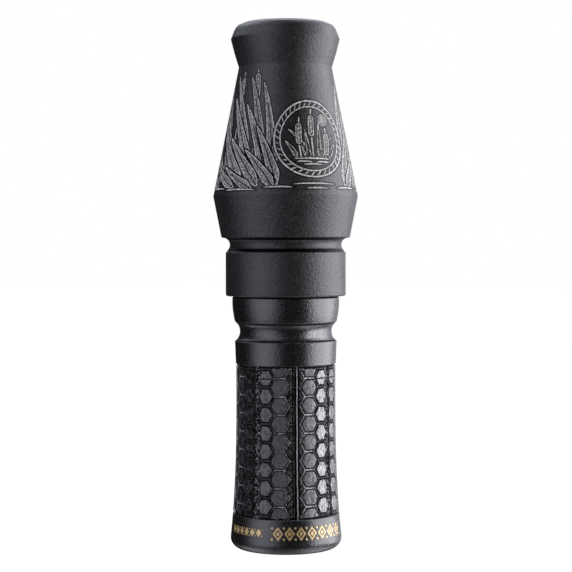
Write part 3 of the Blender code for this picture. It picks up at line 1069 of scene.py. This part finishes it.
def barrel_material():
    """Satin black with the etched motif in light dotted grey, and painted shade in the unetched gaps
    beside its lines and in the lanyard groove's corners.
    """
    nodes = Nodes("barrel_satin_black")
    colour, rough, normal = satin(nodes, 0.00012, BARREL_SPECK, (0.33, 0.38), 0.09)
    layer = nodes.layer("etched")
    etched = nodes.span(layer, -0.04, 0.05, smooth=True)
    holes = nodes.span(nodes.noise(2500, 3, 0.7), 0.46, 0.54)
    dotted = nodes.layer("dots")
    dimmed = nodes.times(dotted, nodes.plus(nodes.times(holes, 0.7), 0.25))
    share = nodes.times(etched, nodes.math("SUBTRACT", 1.0, dimmed))
    tone = nodes.mix(nodes.span(nodes.noise(1700, 4, 0.7), 0.38, 0.62), ETCH_LIGHT, ETCH_FAINT)
    base = nodes.mix(share, nodes.mix(etched, colour, ETCH_DARK), tone)
    # Painted shade: unetched ground within about half a millimetre of the lines, in the narrow gaps
    # and veins, and in the lanyard groove's corners goes black; the scorched ground inside the
    # roundel is partly darkened the same way
    painted_shade_and_ground = nodes.math("SUBTRACT", nodes.span(layer, -0.5, -0.28, smooth=True), etched)
    painted_shade_and_ground = nodes.math("MAXIMUM", painted_shade_and_ground, 0.0)
    base = nodes.mix(painted_shade_and_ground, base, SCORCH_AND_SHADE_BLACK)
    rough = nodes.plus(rough, nodes.times(etched, 0.3))
    normal = nodes.bump(nodes.times(etched, nodes.noise(3200, 2)), 0.00006, 0.7, normal)
    # Metallic with that black takes away the reflection there, as painted shade
    metal = nodes.times(painted_shade_and_ground, nodes.span(dotted, 0.0, 1.0, 0.55, 0.95))
    return nodes.finish(Base_Color=base, Roughness=rough, Normal=normal, Metallic=metal)


def insert_material():
    """Glossier satin black, rough cuts in the grip dark from scorch and painted shade, pale burrs
    with a painted highlight, and the gold fill with a painted highlight.
    """
    nodes = Nodes("insert_satin_black")
    colour, rough, normal = satin(nodes, 0.00008, INSERT_SPECK, (0.2, 0.24), 0.1)
    grip = nodes.layer("grip")
    # In the cuts the colour goes near black and metallic, so they reflect nothing: partly the cuts'
    # scorch, partly painted shade; the roughed-over cells take some of it, and the waist's corners
    # are painted shade only
    in_cut = nodes.times(grip, nodes.span(nodes.layer("inside"), 0.42, 0.3, smooth=True))
    not_smooth = nodes.span(nodes.layer("inside"), SMOOTH_PAINTED_SHADE + 0.1, SMOOTH_PAINTED_SHADE + 0.4)
    scorch = nodes.times(nodes.noise(2600, 4, 0.7), not_smooth)
    burr_and_highlight = nodes.times(nodes.layer("burr_and_highlight"), nodes.span(scorch, 0.3, 0.6, 0.5, 1.0))
    cut_scorch_and_shade = nodes.mix(nodes.span(scorch, 0.5, 0.75), SCORCH_AND_SHADE_BLACK, CUT_ASH)

    # The cells' tops are brushed, with rubbed patches and dark specks
    brushed = nodes.noise(1, 3, 0.6, (2000, 2000, 420))
    specks = nodes.span(nodes.noise(2900, 2), 0.57, 0.66)
    patches = nodes.span(nodes.noise(1500, 4, 0.75), 0.48, 0.64)
    cell_tone = nodes.mix(nodes.span(brushed, 0.3, 0.75), BLACK, CELL_WORN)
    cell_tone = nodes.mix(patches, cell_tone, CELL_RUBBED)
    cell_tone = nodes.mix(specks, cell_tone, SCORCH_AND_SHADE_BLACK)
    base = nodes.mix(grip, colour, cell_tone)
    base = nodes.mix(in_cut, base, cut_scorch_and_shade)
    # Pale colour: a painted highlight on the ridge crests near the seams, and burrs at the joints
    # and on the seam's line
    base = nodes.mix(burr_and_highlight, base, BURR_AND_HIGHLIGHT)

    # Paler gold, with noise, inside the fill's edges is a painted highlight
    gold = nodes.span(nodes.layer("gold"), -0.04, 0.05, smooth=True)
    painted_gold_highlight = nodes.times(nodes.span(nodes.layer("gold"), 0.04, 0.16),
                        nodes.span(nodes.noise(1900, 3), 0.3, 0.55, 0.35, 1.0))
    base = nodes.mix(gold, base, nodes.mix(painted_gold_highlight, GOLD_DEEP, GOLD_PALE))

    rough = nodes.plus(rough, nodes.times(grip, nodes.span(brushed, 0.4, 0.62, 0.0, 0.28)))
    rough = nodes.plus(rough, nodes.times(in_cut, 0.35))
    normal = nodes.bump(nodes.times(in_cut, scorch), 0.00025, 0.9, normal)
    normal = nodes.bump(nodes.times(grip, nodes.plus(brushed, patches)), 0.00013, 1.0, normal)
    # Metallic with the cuts' near-black colour is painted shade: it takes their reflection away
    metal = nodes.math("MAXIMUM", nodes.math("SUBTRACT", 0.9, burr_and_highlight), 0.0)
    metal = nodes.math("MAXIMUM", nodes.times(in_cut, metal), nodes.times(gold, 0.35))
    polish = nodes.span(nodes.plus(brushed, nodes.noise(1900, 3, 0.7)), 0.8, 1.15)
    return nodes.finish(Base_Color=base, Roughness=rough, Normal=normal, Metallic=metal, IOR=1.63,
                        Coat_Weight=nodes.times(nodes.layer("rubbed"), polish),
                        Coat_Roughness=0.25, Coat_IOR=2.05)


def rubber_material(name, dark, light):
    """Matt rubber with moulding grain and a little dust."""
    nodes = Nodes(name)
    dust = nodes.noise(700, 4, 0.6)
    base = nodes.mix(nodes.span(dust, 0.4, 0.75), dark, light)
    rough = nodes.span(nodes.noise(300), 0.3, 0.7, 0.55, 0.75)
    normal = nodes.bump(nodes.noise(5200, 2), 0.00002, 0.5)
    return nodes.finish(Base_Color=base, Roughness=rough, Normal=normal)


def gut_material():
    """Machined ivory polymer with turning marks and faint staining."""
    nodes = Nodes("gut_ivory")
    stain = nodes.noise(220, 4)
    base = nodes.mix(nodes.span(stain, 0.35, 0.7), IVORY, IVORY_STAINED)
    rough = nodes.span(stain, 0.3, 0.7, 0.3, 0.42)
    normal = nodes.bump(nodes.noise(1, 3, 0.6, (60, 60, 5200)), 0.00002, 0.5)
    return nodes.finish(Base_Color=base, Roughness=rough, Normal=normal, Subsurface_Weight=0.15,
                        Subsurface_Radius=(0.002, 0.0015, 0.001))


def reed_material():
    """Milky polyester film with fine scratches along it."""
    nodes = Nodes("reed_film")
    scratch = nodes.noise(1, 3, 0.7, (4200, 800, 260))
    base = nodes.mix(nodes.span(scratch, 0.4, 0.7), FILM, FILM_SCRATCHED)
    rough = nodes.span(scratch, 0.35, 0.7, 0.2, 0.32)
    normal = nodes.bump(scratch, 0.000004, 0.4)
    return nodes.finish(Base_Color=base, Roughness=rough, Normal=normal, IOR=1.5,
                        Transmission_Weight=0.35)


# ---- the stage

# Name, azimuth, elevation, distance and size in metres, radiance and colour
COOL = (0.93, 0.95, 1.08)
SOFTBOXES = [
    ("right_softbox", 92, 8, 0.6, (0.85, 0.8), 5.5, (0.98, 0.98, 1.05)),
    ("right_rear_softbox", 150, 5, 0.7, (0.5, 1.0), 0.8, (0.95, 0.97, 1.06)),
    ("left_softbox", -50, 13, 0.7, (0.95, 1.35), 1.05, COOL),
    ("left_inner_softbox", -50, 13, 0.69, (0.5, 1.35), 0.83, COOL),
    ("top_softbox", 180, 58, 0.7, (1.2, 0.65), 2.2, COOL),
    ("left_rear_softbox", -130, 55, 0.7, (0.5, 0.4), 1.2, COOL),
    ("left_table_glow", -100, -55, 0.7, (0.7, 0.4), 1.2, (0.95, 0.97, 1.05)),
    ("right_table_glow", 100, -55, 0.7, (0.8, 0.4), 1.9, (0.97, 0.98, 1.05)),
]
FLOOR_R = 3000.0
FLOOR_GREY = (0.03, 0.03, 0.03)
ROOM_COLOUR = (0.95, 0.97, 1.0)
PAPER_WHITE = (1.0, 1.0, 1.0)

# The camera's place is from the middle of the object's foot, in metres
CAMERA_PLACE = Vector((0.0001, -0.4606, 0.0846))
CAMERA_DOWN = 1.4406
CAMERA_ROLL = 0.1
LENS_MM = 103.85
SENSOR_MM = 36.0


def add_softbox(target, name, azimuth, elevation, distance, size, radiance, colour):
    """A rectangular softbox, placed by its direction and distance from the target."""
    lamp = bpy.data.lights.new(name, "AREA")
    lamp.shape = "RECTANGLE"
    lamp.size, lamp.size_y = size
    lamp.energy = radiance * math.pi * size[0] * size[1]
    lamp.color = colour
    made = linked(name, lamp)
    a = math.radians(azimuth)
    e = math.radians(elevation)
    made.location = target + distance * Vector(
        (math.sin(a) * math.cos(e), -math.cos(a) * math.cos(e), math.sin(e)))
    made.rotation_euler = (target - made.location).to_track_quat("-Z", "Y").to_euler()
    made.visible_camera = False


def make_floor():
    """The white paper that the object stands on. It neither lights the object nor is shaded."""
    bm = bmesh.new()
    bmesh.ops.create_circle(bm, cap_ends=True, radius=FLOOR_R, segments=96)
    floor = solid(bm, "floor")
    floor.location.z = cad_low.z
    floor.visible_glossy = False
    floor.visible_diffuse = False
    floor.visible_shadow = False
    floor.data.materials.append(Nodes("floor_paper").finish(
        Base_Color=FLOOR_GREY, Roughness=0.9, Emission_Color=PAPER_WHITE, Emission_Strength=1.0))


def make_world():
    """A dim room, brighter straight below as the paper would be, and plain white to the camera."""
    nodes = Nodes("studio", bpy.data.worlds, "Background")
    direction = nodes.add("ShaderNodeTexCoord").outputs["Generated"]
    up = nodes.add("ShaderNodeSeparateXYZ", Vector=direction).outputs["Z"]
    bpy.context.scene.world = nodes.finish(Color=ROOM_COLOUR,
                                           Strength=nodes.span(up, -0.6, -0.9, 0.02, 0.5))
    paper = nodes.add("ShaderNodeBackground", Color=PAPER_WHITE)
    seen = nodes.add("ShaderNodeLightPath").outputs["Is Camera Ray"]
    both = nodes.add("ShaderNodeMixShader", Fac=seen)
    nodes.feed(both.inputs[1], nodes.shader.outputs[0])
    nodes.feed(both.inputs[2], paper.outputs[0])
    nodes.feed(nodes.tree.nodes["World Output"].inputs["Surface"], both.outputs[0])


def make_camera():
    """The camera, looking a little down on the object."""
    lens = bpy.data.cameras.new("camera")
    lens.lens = LENS_MM
    lens.sensor_width = SENSOR_MM
    camera = linked("camera", lens)
    camera.location = Vector((0, 0, cad_low.z)) + CAMERA_PLACE
    camera.rotation_euler = (math.radians(90 - CAMERA_DOWN), math.radians(CAMERA_ROLL), 0)
    bpy.context.scene.camera = camera


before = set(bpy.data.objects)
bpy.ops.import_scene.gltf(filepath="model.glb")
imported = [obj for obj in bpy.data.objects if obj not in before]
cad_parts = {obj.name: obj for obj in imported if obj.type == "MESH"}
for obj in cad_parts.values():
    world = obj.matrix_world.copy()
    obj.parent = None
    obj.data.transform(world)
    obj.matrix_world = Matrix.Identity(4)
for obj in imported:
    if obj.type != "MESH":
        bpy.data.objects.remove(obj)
cad_low, cad_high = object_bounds()

bpy.context.scene.view_settings.view_transform = "Standard"
make_floor()
make_world()
for softbox in SOFTBOXES:
    add_softbox((cad_low + cad_high) / 2, *softbox)
make_camera()

make_barrel(barrel_material())
make_insert(insert_material())
ring_rubber = rubber_material("oring_rubber", RUBBER, RUBBER_DUST)
for ring_node in TENON_RING_NODES:
    make_oring(ring_node, TENON_RING, "tenon_orings", ring_rubber)
for ring_node in GUT_RING_NODES:
    make_oring(ring_node, GUT_RING, "gut_orings", ring_rubber)
make_gut_body(gut_material())
make_reed(reed_material())
make_wedge(rubber_material("wedge_rubber", RED_RUBBER, RED_RUBBER_DUST))
